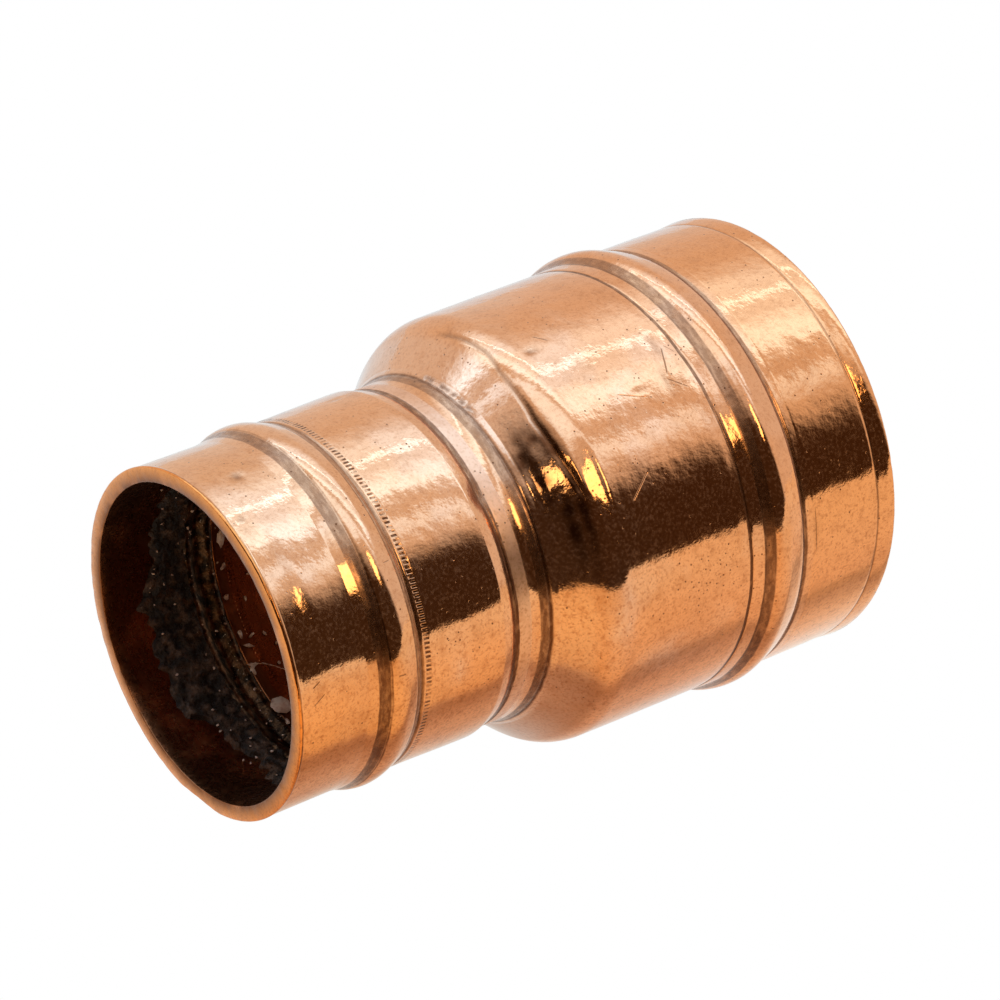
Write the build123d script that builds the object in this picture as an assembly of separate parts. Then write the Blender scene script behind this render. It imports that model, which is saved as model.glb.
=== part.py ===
from build123d import *
import os

# Solder-ring reducing coupling for 22 mm and 28 mm copper tube.
# Millimetres. The axis of the coupling is +X, with the small mouth at the low end,
# and the origin is on the axis, halfway along. +Z is up as the coupling lies.
# Stations along the axis are measured from the small mouth.

# ---- driving dimensions ----

LENGTH = 46.8

# small socket, for 22 mm tube
SMALL_BORE_R = 11.05
SMALL_OUTER_R = 12.10
SMALL_SOCKET_DEPTH = 16.4
SMALL_BEAD_FROM_MOUTH = 7.7
SMALL_BEAD_RISE = 0.60

# large socket, for 28 mm tube
LARGE_BORE_R = 14.07
LARGE_OUTER_R = 15.20
LARGE_SOCKET_DEPTH = 22.4
LARGE_BEAD_FROM_MOUTH = 9.8
LARGE_BEAD_RISE = 0.73

# wall between the two beads
INTAKE_R = 12.22            # outside of the small end, just before the waist
WAIST_START = 17.0
WAIST_R = 11.95
WAIST_END = 19.8
TUBE_STOP_R = 10.45         # inside of the waist, which stops the 22 mm tube
SHOULDER_TOP = 23.35
SHOULDER_TOP_R = 15.05      # outside of the large end, just after the shoulder
BODY_OUTER_R = 15.15        # outside of the large end, just before its bead

# rolled bead and the groove inside it
NEAR_FLANK = 1.55           # length of the steep flank, on the small-mouth side
FAR_FLANK = 2.20            # length of the gentle flank, on the large-mouth side
GROOVE_HALF_MOUTH = 1.25
GROOVE_HALF_FLOOR = 0.75
GROOVE_DEPTH = 0.85
RING_GAP = 0.02             # all round between a solder ring and its groove

# corner radii
RIM_OUTER_ROUND = 0.30
RIM_INNER_ROUND = 0.15
BEAD_FOOT_ROUND = 1.6
BEAD_CROWN_ROUND = 1.5
GROOVE_EDGE_ROUND = 0.15
GROOVE_FLOOR_ROUND = 0.40
WAIST_LIP_ROUND = 0.45
WAIST_STEP_LENGTH = 0.35
WAIST_STEP_ROUND = 0.12
STOP_ROUND = 0.25
SHOULDER_FOOT_ROUND = 1.6
SHOULDER_TOP_ROUND = 2.8
INSIDE_FOOT_ROUND = 1.5
INSIDE_TOP_ROUND = 2.6

SMALL_BEAD = SMALL_BEAD_FROM_MOUTH
LARGE_BEAD = LENGTH - LARGE_BEAD_FROM_MOUTH


def bead_outline(station, foot_near_r, crown_r, foot_far_r):
    """Outside of one rolled bead: near foot, crown and far foot."""
    return [
        (station - NEAR_FLANK, foot_near_r, BEAD_FOOT_ROUND),
        (station, crown_r, BEAD_CROWN_ROUND),
        (station + FAR_FLANK, foot_far_r, BEAD_FOOT_ROUND),
    ]


def groove_outline(station, bore_r):
    """Groove for a solder ring, walked from the large mouth to the small one."""
    floor_r = bore_r + GROOVE_DEPTH
    return [
        (station + GROOVE_HALF_MOUTH, bore_r, GROOVE_EDGE_ROUND),
        (station + GROOVE_HALF_FLOOR, floor_r, GROOVE_FLOOR_ROUND),
        (station - GROOVE_HALF_FLOOR, floor_r, GROOVE_FLOOR_ROUND),
        (station - GROOVE_HALF_MOUTH, bore_r, GROOVE_EDGE_ROUND),
    ]


def outer_outline():
    """Outside of the body, from the small mouth to the large one."""
    outline = [(0, SMALL_OUTER_R, RIM_OUTER_ROUND)]
    outline += bead_outline(
        SMALL_BEAD, SMALL_OUTER_R, SMALL_OUTER_R + SMALL_BEAD_RISE, SMALL_OUTER_R
    )
    outline += [
        (WAIST_START, INTAKE_R, WAIST_LIP_ROUND),
        (WAIST_START + WAIST_STEP_LENGTH, WAIST_R, WAIST_STEP_ROUND),
        (WAIST_END, WAIST_R, SHOULDER_FOOT_ROUND),
        (SHOULDER_TOP, SHOULDER_TOP_R, SHOULDER_TOP_ROUND),
    ]
    outline += bead_outline(
        LARGE_BEAD, BODY_OUTER_R, LARGE_OUTER_R + LARGE_BEAD_RISE, LARGE_OUTER_R
    )
    outline += [(LENGTH, LARGE_OUTER_R, RIM_OUTER_ROUND)]
    return outline


def inner_outline():
    """Inside of the body, from the large mouth to the small one."""
    outline = [(LENGTH, LARGE_BORE_R, RIM_INNER_ROUND)]
    outline += groove_outline(LARGE_BEAD, LARGE_BORE_R)
    outline += [
        (LENGTH - LARGE_SOCKET_DEPTH, LARGE_BORE_R, INSIDE_TOP_ROUND),
        (WAIST_END - WAIST_STEP_LENGTH, TUBE_STOP_R, INSIDE_FOOT_ROUND),
        (SMALL_SOCKET_DEPTH + WAIST_STEP_LENGTH, TUBE_STOP_R, STOP_ROUND),
        (SMALL_SOCKET_DEPTH, SMALL_BORE_R, STOP_ROUND),
    ]
    outline += groove_outline(SMALL_BEAD, SMALL_BORE_R)
    outline += [(0, SMALL_BORE_R, RIM_INNER_ROUND)]
    return outline


def spin(outline):
    """Solid of revolution about X from a closed outline of (station, radius, rounding)."""
    points = [(station - LENGTH / 2, radius) for station, radius, _ in outline]
    rounds = [rounding for _, _, rounding in outline]
    with BuildPart() as part:
        with BuildSketch(Plane.XY):
            with BuildLine():
                FilletPolyline(*points, radius=rounds, close=True)
            make_face()
        revolve(axis=Axis.X)
    return part.part


def make_body():
    """One copper tube, swaged and rolled: two sockets, two beads, waist and shoulder."""
    return spin(outer_outline() + inner_outline())


def make_solder_ring(station, bore_r):
    """Ring of solder that fills a groove and lies just below the bore."""
    inner_r = bore_r + RING_GAP
    floor_r = bore_r + GROOVE_DEPTH - RING_GAP
    half_mouth = GROOVE_HALF_MOUTH - GROOVE_EDGE_ROUND - RING_GAP
    half_floor = GROOVE_HALF_FLOOR - RING_GAP
    return spin([
        (station - half_mouth, inner_r, 0),
        (station - half_floor, floor_r, GROOVE_FLOOR_ROUND),
        (station + half_floor, floor_r, GROOVE_FLOOR_ROUND),
        (station + half_mouth, inner_r, 0),
    ])


os.makedirs("parts", exist_ok=True)
export_step(make_body(), "parts/body.step")
export_step(make_solder_ring(SMALL_BEAD, SMALL_BORE_R), "parts/small_solder_ring.step")
export_step(make_solder_ring(LARGE_BEAD, LARGE_BORE_R), "parts/large_solder_ring.step")
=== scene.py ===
import math
import random

import bpy
import numpy as np
from mathutils import Matrix, Vector, noise


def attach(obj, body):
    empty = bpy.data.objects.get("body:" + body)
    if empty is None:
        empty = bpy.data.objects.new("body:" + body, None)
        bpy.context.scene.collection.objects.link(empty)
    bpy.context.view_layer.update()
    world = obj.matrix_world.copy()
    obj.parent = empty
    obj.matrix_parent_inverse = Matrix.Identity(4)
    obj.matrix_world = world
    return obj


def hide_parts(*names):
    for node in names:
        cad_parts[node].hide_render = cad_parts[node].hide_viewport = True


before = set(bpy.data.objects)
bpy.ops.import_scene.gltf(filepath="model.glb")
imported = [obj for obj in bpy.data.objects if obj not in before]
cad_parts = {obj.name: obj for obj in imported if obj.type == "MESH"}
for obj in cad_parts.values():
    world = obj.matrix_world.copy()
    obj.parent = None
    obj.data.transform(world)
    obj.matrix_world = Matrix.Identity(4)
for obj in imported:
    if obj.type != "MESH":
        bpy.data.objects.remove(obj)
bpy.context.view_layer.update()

# Everything below is in millimetres on the part's own axis, and metres() turns it into Blender's units.
# Stations are distances along the axis from the small mouth. Angles go round the axis: 0 faces -Y, 90 is up.
MM = 0.001
HALF_LENGTH = 23.4
LENGTH = 2.0 * HALF_LENGTH

SMALL_BORE_R = 11.05
SMALL_OUTER_R = 12.10
SMALL_BEAD = 7.7
SMALL_CROWN_R = 12.62
LARGE_BORE_R = 14.07
LARGE_OUTER_R = 15.20
LARGE_BEAD = 37.0
LARGE_CROWN_R = 15.81
WAIST_R = 11.95
STOP_R = 10.45
GROOVE_DEPTH = 0.85
GROOVE_MOUTH_HALF = 1.25
GROOVE_FLOOR_HALF = 0.75
# Stations short of this one lie on the small end.
SHOULDER_FOOT = 20.0

SEGMENTS = 480
TICKS = 240

# How far apart the body's rows of vertices lie: round a corner, beside a rolled line, in the ticks and
# the shoulder, on the rest of the outside, and on the inside.
ARC_STEP = 0.13
LINE_STEP = 0.07
FINE_STEP = 0.13
OUTSIDE_STEP = 0.42
INSIDE_STEP = 0.9
BESIDE_A_LINE = 0.35
FINE_STRETCHES = [(9.4, 10.8), (16.0, 25.0)]
SAME_PLACE = 0.02

# (station, radius, corner rounding) along the outside, from the small rim to the large one.
OUTSIDE = [
    (0.0, 12.16, 0.12),
    (0.45, SMALL_OUTER_R, 1.0),
    (5.40, 12.07, 0.8),
    (6.60, 12.22, 1.2),
    (7.62, 12.745, 2.0),
    (9.45, 12.13, 0.6),
    (16.1, 12.22, 0.5),
    (16.9, 12.02, 0.12),
    (17.5, WAIST_R, 0.15),
    (19.8, WAIST_R, 3.0),
    (23.35, 15.05, 2.8),
    (34.4, 15.14, 0.8),
    (35.6, 15.25, 0.8),
    (36.85, 15.89, 1.5),
    (38.95, LARGE_OUTER_R, 0.6),
    (45.4, LARGE_OUTER_R, 1.0),
    (LENGTH, 15.34, 0.12),
]

# The same back along the inside, from the large rim to the small one.
INSIDE = [
    (LENGTH, LARGE_BORE_R, 0.10),
    (LARGE_BEAD + GROOVE_MOUTH_HALF, LARGE_BORE_R, 0.15),
    (LARGE_BEAD + GROOVE_FLOOR_HALF, LARGE_BORE_R + GROOVE_DEPTH, 0.40),
    (LARGE_BEAD - GROOVE_FLOOR_HALF, LARGE_BORE_R + GROOVE_DEPTH, 0.40),
    (LARGE_BEAD - GROOVE_MOUTH_HALF, LARGE_BORE_R, 0.15),
    (24.4, LARGE_BORE_R, 2.6),
    (19.45, STOP_R, 1.5),
    (16.75, STOP_R, 0.25),
    (16.4, SMALL_BORE_R, 0.12),
    (SMALL_BEAD + GROOVE_MOUTH_HALF, SMALL_BORE_R, 0.15),
    (SMALL_BEAD + GROOVE_FLOOR_HALF, SMALL_BORE_R + GROOVE_DEPTH, 0.40),
    (SMALL_BEAD - GROOVE_FLOOR_HALF, SMALL_BORE_R + GROOVE_DEPTH, 0.40),
    (SMALL_BEAD - GROOVE_MOUTH_HALF, SMALL_BORE_R, 0.15),
    (0.0, SMALL_BORE_R, 0.10),
]

# Rolled lines round the outside: (station, half width, depth).
RING_LINES = [
    (0.28, 0.06, 0.030),
    (6.95, 0.10, 0.040),
    (9.12, 0.05, 0.020),
    (9.52, 0.09, 0.060),
    (17.2, 0.16, 0.070),
    (19.92, 0.09, 0.060),
    (20.42, 0.06, 0.020),
    (34.38, 0.10, 0.050),
    (36.15, 0.10, 0.040),
    (38.88, 0.11, 0.070),
    (39.72, 0.05, 0.010),
    (45.38, 0.08, 0.030),
]

# Unevenness of the whole outside: (size of its features, height, noise seed).
UNEVENNESS = [(9.0, 0.030, 1), (3.2, 0.011, 2), (1.1, 0.0035, 3)]

# Gentle swells and hollows left by the rolling: (station, angle, length, width round, height).
SWELLS = [
    (14.8, 0, 2.4, 999.0, 0.035),
    (20.90, 42, 0.24, 2.6, -0.060),
    (21.50, 30, 0.20, 2.0, -0.030),
    (34.75, 37, 0.14, 3.0, 0.012),
    (35.45, 37, 0.14, 3.0, 0.012),
]

# Flats pressed into the buckled shoulder: (station, radius, slope, half length, angle, degrees round).
FLATS = [(23.65, 14.90, 0.13, 0.55, 39.0, 7.0)]
FLAT_FADE = 0.25

# Steps that rise over a short way and die away slowly:
# (station, half length, rise, tail, angle, degrees round).
STEPS = [(2.0, 0.24, 0.066, 3.0, 37.0, 16.0)]

# Dents and dings: (station, angle, length, width round, depth).
DENTS = [
    (3.1, 85, 0.22, 0.30, 0.10),
    (1.1, 68, 0.15, 0.18, 0.07),
    (14.4, 109, 0.20, 0.25, 0.05),
    (17.0, 48, 0.30, 0.60, 0.12),
    (25.1, 78, 0.30, 0.20, 0.08),
    (33.1, 66, 0.20, 0.70, 0.05),
    (32.2, 56, 0.18, 0.60, 0.05),
    (30.0, 56, 0.60, 0.15, 0.03),
    (39.5, 26, 0.15, 0.90, 0.03),
    (39.9, 6, 0.15, 0.90, 0.03),
]

# Pale pink patches: (station, angle, length, width round).
BLOOMS = [
    (23.6, 2, 0.7, 2.6),
    (27.5, -14, 1.6, 1.0),
    (12.5, -2, 0.5, 0.8),
    (42.0, -20, 1.5, 1.2),
]

# Brown in the lines and feet of the outside, partly stain and partly painted shade in the hollows such as the
# waist's fillet: (station, half width, soft edge, depth of colour).
GROOVE_BROWN_AND_SHADE = [
    (6.52, 0.36, 0.10, 0.95),
    (9.38, 0.26, 0.12, 0.75),
    (17.2, 0.26, 0.08, 1.0),
    (19.62, 0.36, 0.14, 0.90),
    (34.38, 0.09, 0.06, 1.0),
    (35.82, 0.32, 0.12, 0.90),
    (38.92, 0.15, 0.15, 0.90),
    (45.38, 0.04, 0.08, 0.50),
]

# Near-black lines where the brown is deepest, fading towards the top as painted shade: (station, half width,
# soft edge, depth of colour).
DARK_LINES = [
    (0.20, 0.03, 0.05, 0.9),
    (7.00, 0.02, 0.06, 0.8),
    (9.10, 0.02, 0.05, 0.6),
    (9.52, 0.04, 0.06, 0.8),
    (17.2, 0.14, 0.12, 0.7),
    (19.90, 0.06, 0.07, 0.9),
    (34.38, 0.06, 0.06, 0.8),
    (35.52, 0.03, 0.07, 0.6),
    (38.86, 0.05, 0.07, 0.7),
    (45.38, 0.02, 0.05, 0.4),
]

# The sharp crease along the top of the shoulder, as (angle, station) points.
CREASE = [(34, 22.9), (48, 22.5), (60, 22.3), (64, 22.4), (78, 22.6), (85, 22.9), (95, 22.8), (108, 22.5)]
CREASE_DEPTH = 0.075
# The scored strip at the top of the shoulder's foot.
SCORED_STATION = 20.18
SCORED_HALF = 0.13
SCORED_DEPTH = 0.05
# The first and last angle of each of the two, and the fade inside those ends.
CREASE_REACH = (33, 106, 5)
SCORED_REACH = (72, 102, 5)

# The shallow folds of the buckled shoulder: (station, length, angle, degrees round), height and grain.
BUCKLE = (21.9, 1.1, 34, 24.0)
BUCKLE_HEIGHT = 0.030
BUCKLE_GRAIN = (0.55, 5.0, 5.0)

# The ring of cut ticks behind the small bead: where it starts and ends, with its fade, and its depth.
TICK_REACH = (9.74, 10.30, 0.1)
TICK_DEPTH = 0.020

# Wear of the two rims: how far in it reaches, and its burrs and slow waves.
RIM_REACH = 0.5
RIM_BURRS = 0.05
RIM_WAVES = 0.02
# How far the outside stays within the CAD's largest radius.
CAD_CLEARANCE = 0.005

# Mottling of the outside: (grains per mm, shift, start, full, strength, colour).
MOTTLES = [
    (0.16, 41.0, 0.50, 0.70, 0.30, (0.62, 0.27, 0.13, 1.0)),
    (0.9, 43.0, 0.48, 0.72, 0.30, (0.56, 0.22, 0.09, 1.0)),
    (2.4, 47.0, 0.50, 0.74, 0.40, (0.45, 0.16, 0.06, 1.0)),
    (5.0, 53.0, 0.48, 0.74, 0.55, (0.40, 0.13, 0.045, 1.0)),
]

# Scratches: (station, angle) at each end, half width and depth.
SCRATCHES = [
    ((33.45, 65.5), (32.5, 57.0), 0.05, 1.0),
    ((33.60, 65.5), (34.1, 62.5), 0.03, 0.6),
    ((28.2, 57.3), (30.3, 53.6), 0.04, 0.8),
    ((32.3, 56.5), (33.5, 52.2), 0.04, 0.8),
    ((26.1, 82.8), (26.8, 79.4), 0.05, 0.9),
    ((27.8, 36.5), (25.9, 30.5), 0.05, 0.8),
    ((1.2, 11.0), (1.8, 12.5), 0.04, 0.8),
    ((1.1, 5.0), (2.1, 8.0), 0.03, 0.6),
    ((39.95, 12.5), (39.95, -1.0), 0.03, 0.8),
    ((8.3, 39.2), (8.9, 39.4), 0.04, 0.8),
    ((7.4, 5.4), (8.0, 5.2), 0.04, 0.7),
]

# Where dark grit is thickest: (station, angle, length, width round).
GRIT = [
    (30.4, 4, 1.3, 1.3),
    (30.8, -3, 1.8, 0.5),
    (12.0, 6, 0.5, 0.5),
    (13.6, 2, 0.5, 0.7),
]

# Painted shade where the folds of the shoulder are nearly black: (station, angle, length, width round).
FOLD_SHADE = [
    (22.55, 36, 0.22, 3.2),
    (22.40, 53, 0.34, 1.2),
    (21.50, 57, 0.50, 0.7),
    (21.20, 44, 0.30, 1.6),
    (20.80, 53, 0.50, 0.9),
    (21.90, 30, 0.30, 1.8),
]

# Where the burnt flux starts, as (angle, station) all the way round, and where it ends against the ring.
CRUST_EDGE = [(-180, 4.1), (-169, 2.9), (-156, 3.0), (-135, 3.0), (-125, 2.5), (-113, 4.3), (-93, 4.5),
              (-67, 4.1), (-30, 4.9), (30, 5.3), (100, 5.2), (156, 4.9), (180, 4.1)]
CRUST_END = 6.75
CRUST_ROWS = 64
CRUST_BACK = 0.35

# Scraps of flux past the ring: (station, angle, half length, half width, lean).
FLAKES = [
    (9.6, -177, 0.30, 0.80, 0.2),
    (9.5, -166, 0.18, 0.30, 0.8),
    (9.2, -155, 0.22, 0.24, 0.3),
    (9.3, -141, 0.20, 0.36, 0.1),
    (9.5, -136, 0.42, 0.16, 0.5),
    (10.1, -139, 0.30, 0.12, -0.4),
    (9.2, -129, 0.50, 0.14, 0.4),
    (9.1, -128, 0.44, 0.14, -0.6),
    (9.0, -127, 0.16, 0.46, 0.1),
    (9.3, -110, 0.95, 0.75, 0.3),
    (8.9, -103, 0.18, 0.30, 0.4),
    (10.6, -152, 0.10, 0.22, 0.0),
    (11.3, -160, 0.16, 0.10, 0.0),
]
STRAY_FLAKES = 70
CRUST_GRAINS = 160
FLAKE_CORNERS = 9
FLAKE_THICKNESS = 0.05

# One fine bristle caught on the largest splinter: (station, angle, height above the bore) along it.
BRISTLE = [(9.1, -129.0, 0.30), (9.7, -127.5, 0.55), (10.4, -124.5, 0.62), (11.1, -121.5, 0.45),
           (11.7, -119.5, 0.12)]
BRISTLE_R = 0.035
BRISTLE_POINTS = 25
BRISTLE_SIDES = 6

# A solder ring's section, as (station from its middle, height above the bore): the back that fills the
# groove, and the lumpy face towards the bore.
RING_BACK = [(-1.18, 0.06), (-0.74, 0.62), (-0.50, 0.80), (0.0, 0.82), (0.50, 0.80), (0.74, 0.62),
             (1.18, 0.06)]
RING_FACE = [(1.10, -0.10), (0.80, -0.18), (0.52, -0.02), (0.30, 0.22), (0.05, 0.26), (-0.20, 0.16),
             (-0.45, -0.06), (-0.72, -0.24), (-0.98, -0.26), (-1.16, -0.12)]
RING_DEPTH = 0.82

COPPER = (0.86, 0.39, 0.19, 1.0)
ORANGE_COPPER = (0.86, 0.375, 0.165, 1.0)
MIDDLE_COPPER = (0.86, 0.42, 0.22, 1.0)
PALE_COPPER = (0.86, 0.44, 0.24, 1.0)
PINK_OXIDE = (0.85, 0.50, 0.34, 1.0)
# Brown for the real stains, and for the painted shade low on the front of the shoulder.
BROWN_STAIN_AND_SHADE = (0.42, 0.17, 0.08, 1.0)
HAZE_METALLIC = 0.90
DARK_LINE = (0.12, 0.040, 0.016, 1.0)
PINK_BLOOM = (0.82, 0.52, 0.42, 1.0)
RIM_BRASSY = (0.88, 0.32, 0.09, 1.0)
# Brown for the groove lines, partly stain and partly painted shade in their hollows.
RING_BROWN_AND_SHADE = (0.13, 0.044, 0.020, 1.0)
BORE_BROWN = (0.24, 0.085, 0.035, 1.0)
BORE_RED = (0.52, 0.19, 0.075, 1.0)
SOLDER_DARK = (0.018, 0.013, 0.010, 1.0)
SOLDER_BROWN = (0.16, 0.08, 0.04, 1.0)
SOLDER_BRIGHT = (0.55, 0.42, 0.32, 1.0)
CRUST_BLACK = (0.014, 0.006, 0.003, 1.0)
CRUST_GREY = (0.130, 0.068, 0.042, 1.0)
CRUST_BROWN = (0.10, 0.035, 0.012, 1.0)
FLAKE_PINK = (0.70, 0.42, 0.32, 1.0)
FLAKE_PALE = (0.97, 0.74, 0.62, 1.0)

# How much of each tone a mark brings to the copper, in the order that they are laid on.
TINTS = [
    ("patches", 0.30, PINK_OXIDE),
    ("stains", 0.22, BROWN_STAIN_AND_SHADE),
    ("waist", 0.7, PINK_OXIDE),
    ("slope", 0.65, PINK_OXIDE),
    # Painted shade: a brown tint low on the front of the shoulder.
    ("shade_under", 0.65, BROWN_STAIN_AND_SHADE),
    ("bloom", 0.8, PINK_BLOOM),
]
# The dark tone for lines, ticks, specks and scratches, and for the painted shade in the shoulder's folds.
DARK_MARKS = [("lines", 1.0), ("ticks", 0.95), ("specks", 0.85), ("scratches", 0.7), ("fold_shade", 0.9)]
# How much roughness a mark adds, and how deep it is cut.
DULL_MARKS = [("stains", 0.05), ("waist", 0.27), ("inside", 0.20), ("groove_brown_and_shade", 0.22)]
CUT_MARKS = [("specks", 0.007), ("ticks", 0.02), ("scratches", 0.015)]

# Bands of the outside, as (station, half width, soft edge): the dull pink waist, the pink slope of the
# shoulder, the painted shade low on its front (a brown tint standing in for a dark reflection), and the
# ticks.
WAIST_BAND = (17.95, 0.45, 0.20)
SLOPE_BAND = (21.0, 0.9, 0.8)
SHADE_UNDER_BAND = (21.6, 0.9, 0.9)
TICK_BAND = (10.05, 0.16, 0.08)
TICK_LEAN = 0.35
RING_WANDER = 0.14
# Heights over which the groove brown and the dark lines fade: painted shade, darker towards the bottom and
# lighter towards the top.
SHADE_HEIGHTS = (4.0, 10.0)


def metres(points):
    """Points in millimetres along the part, as Blender coordinates."""
    return np.asarray(points, dtype=float) * MM


def unit(vector):
    """The vector at length one."""
    return vector / np.linalg.norm(vector)


def round_corner(before, corner, after, radius):
    """Points along the arc that rounds one corner of an outline."""
    back = unit(before - corner)
    on = unit(after - corner)
    half = 0.5 * math.acos(max(-1.0, min(1.0, float(back @ on))))
    middle = unit(back + on)
    centre = corner + middle * radius / math.sin(half)
    first = corner + back * radius / math.tan(half) - centre
    last = corner + on * radius / math.tan(half) - centre
    sweep = math.pi - 2.0 * half
    count = max(2, int(math.ceil(sweep * radius / ARC_STEP)))
    turn = math.copysign(sweep, first[0] * last[1] - first[1] * last[0])
    steps = [turn * i / count for i in range(count + 1)]
    return [centre + np.array([first[0] * math.cos(a) - first[1] * math.sin(a),
                               first[0] * math.sin(a) + first[1] * math.cos(a)]) for a in steps]


def rounded_outline(corners):
    """The closed outline with every corner rounded, as (station, radius) points."""
    points = [np.array(corner[:2]) for corner in corners]
    out = []
    for i, corner in enumerate(corners):
        after = points[(i + 1) % len(points)]
        out += round_corner(points[i - 1], points[i], after, corner[2])
    return out


def is_outside(point, next_point):
    """Whether the outline runs towards the large mouth here, as it does along the outside."""
    return next_point[0] - point[0] > 1e-6


def row_step(point, outside):
    """How far apart rows may be at a place on the outline."""
    station = point[0]
    if not outside:
        return INSIDE_STEP
    if min(abs(station - line[0]) for line in RING_LINES) < BESIDE_A_LINE:
        return LINE_STEP
    if any(start < station < end for start, end in FINE_STRETCHES):
        return FINE_STEP
    return OUTSIDE_STEP


def fill_outline(points):
    """Adds rows along the straight stretches of the outline, and says which rows are outside."""
    out = []
    for i, point in enumerate(points):
        after = points[(i + 1) % len(points)]
        outside = is_outside(point, after)
        if not out or np.linalg.norm(point - out[-1][0]) > SAME_PLACE:
            out.append((point, outside))
        here = point
        while np.linalg.norm(after - here) > 1.5 * row_step(here, outside):
            here = here + unit(after - here) * row_step(here, outside)
            out.append((here, outside))
    return np.array([p for p, side in out]), np.array([side for p, side in out])


def bell(distance, width):
    """A smooth hump of height one."""
    return np.exp(-0.5 * (distance / width) ** 2)


def plateau(values, low, high, fade):
    """One between low and high, falling to zero over the fade inside each end."""
    return np.clip((values - low) / fade, 0, 1) * np.clip((high - values) / fade, 0, 1)


def angle_gap(angles, centre):
    """The signed difference between angles in degrees, the short way round."""
    return (angles - centre + 180.0) % 360.0 - 180.0


def spot(stations, radii, angles, station, angle, length, width):
    """A smooth hump round one place on the part."""
    away = np.radians(angle_gap(angles, angle)) * radii
    return bell(stations - station, length) * bell(away, width)


def end_radii(stations):
    """The outer radius of the end that each station lies on."""
    return np.where(stations < SHOULDER_FOOT, SMALL_OUTER_R, LARGE_OUTER_R)


def noise_field(points, size, seed):
    """Smooth noise between about -1 and 1 at each point, with features of the given size."""
    shift = Vector((17.3 * seed, 9.1 * seed, 5.7 * seed))
    return np.array([noise.noise(Vector(p) / size + shift) for p in points])


def lathe_points(stations, radii, angles):
    """Points at the given stations, radii and angles (degrees)."""
    turn = np.radians(angles)
    return np.stack([stations - HALF_LENGTH, -radii * np.cos(turn), radii * np.sin(turn)], axis=-1)


def column_angles():
    """The angle of every column of vertices, once round the part."""
    return np.arange(SEGMENTS) * 360.0 / SEGMENTS - 180.0


def crease(stations, angles, width):
    """One along the sharp crease on the shoulder."""
    line = np.interp(angles, [c[0] for c in CREASE], [c[1] for c in CREASE])
    return bell(stations - line, width) * plateau(angles, *CREASE_REACH)


def scored_strip(stations, angles):
    """One inside the scored strip at the top of the shoulder's foot."""
    return bell(stations - SCORED_STATION, SCORED_HALF) * plateau(angles, *SCORED_REACH)


def outside_hollow_darkening(stations, angles, points):
    """Brown darkening along the crease, the scored strip and the dents, the deeper dents darker."""
    hollow_darkening = 0.7 * crease(stations, angles, 0.10)
    patchy = np.clip(0.6 + 1.6 * noise_field(points, 0.5, 8), 0.0, 1.0)
    hollow_darkening = np.maximum(hollow_darkening, scored_strip(stations, angles) * patchy)
    radii = end_radii(stations)
    for station, angle, length, width, depth in DENTS:
        brown = min(1.0, 9.0 * depth)
        hollow_darkening = np.maximum(hollow_darkening, brown * spot(stations, radii, angles, station, angle, length, width))
    return np.clip(hollow_darkening, 0.0, 1.0)


def flats(stations, radii, angles):
    """The change in radius made by the flats on the shoulder and by the steps."""
    relief = np.zeros(len(stations))
    for station, radius, slope, half, angle, width in FLATS:
        share = np.clip((half + FLAT_FADE - np.abs(stations - station)) / FLAT_FADE, 0.0, 1.0)
        share = share * bell(angle_gap(angles, angle), width)
        relief += (radius + slope * (stations - station) - radii) * share
    for station, half, rise, tail, angle, width in STEPS:
        climb = np.clip((stations - station + half) / (2.0 * half), 0.0, 1.0)
        fall = np.clip((station + half + tail - stations) / tail, 0.0, 1.0)
        relief += rise * climb * fall * bell(angle_gap(angles, angle), width)
    return relief


def patches(spots, stations, angles, points, seed):
    """One in ragged patches: each spot is (station, angle, length, width round)."""
    share = np.zeros(len(stations))
    radii = end_radii(stations)
    for station, angle, length, width in spots:
        share = np.maximum(share, spot(stations, radii, angles, station, angle, length, width))
    return np.clip(share * (1.0 + 0.8 * noise_field(points, 0.8, seed)), 0.0, 1.0)


def outside_relief(stations, radii, angles):
    """How far the outside stands off its ideal outline."""
    points = lathe_points(stations, radii, angles)
    relief = sum(height * noise_field(points, size, seed) for size, height, seed in UNEVENNESS)
    for station, half, depth in RING_LINES:
        relief -= depth * bell(stations - station, half)
    for station, angle, length, width, height in SWELLS:
        relief += height * spot(stations, radii, angles, station, angle, length, width)
    for station, angle, length, width, depth in DENTS:
        relief -= depth * spot(stations, radii, angles, station, angle, length, width)
    relief += flats(stations, radii, angles)
    relief -= CREASE_DEPTH * crease(stations, angles, 0.11)
    relief -= SCORED_DEPTH * scored_strip(stations, angles) * (1.0 + noise_field(points, 0.4, 7))
    folds = noise_field(points * (1.0 / np.array(BUCKLE_GRAIN)), 1.0, 4)
    station, length, angle, width = BUCKLE
    buckled = bell(stations - station, length) * bell(angle_gap(angles, angle), width)
    relief += BUCKLE_HEIGHT * folds * buckled
    return relief


def tick_relief(stations, columns):
    """The ring of short ticks cut just behind the small bead."""
    cut = (columns % (SEGMENTS // TICKS)) == 0
    return -TICK_DEPTH * plateau(stations, *TICK_REACH) * cut


def rim_shift(stations, points, edge):
    """How far the worn rims move each vertex along the part; edge is zero on the rims themselves."""
    burrs = RIM_BURRS * np.clip(noise_field(points, 0.7, 5), 0.0, 1.0)
    wobble = burrs + RIM_WAVES * np.abs(noise_field(points, 4.0, 6))
    return np.where(stations < HALF_LENGTH, wobble, -wobble) * (1.0 - edge)


def body_marks(stations, angles, points, outside):
    """What is stored on the body's vertices for its material to read."""
    return {
        "inside": np.where(outside, 0.0, 1.0),
        "hollow_darkening": np.where(outside, outside_hollow_darkening(stations, angles, points), 0.0),
        "bloom": patches(BLOOMS, stations, angles, points, 9),
        "grit": patches(GRIT, stations, angles, points, 10),
        "fold_shade": patches(FOLD_SHADE, stations, angles, points, 14),
    }


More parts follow.
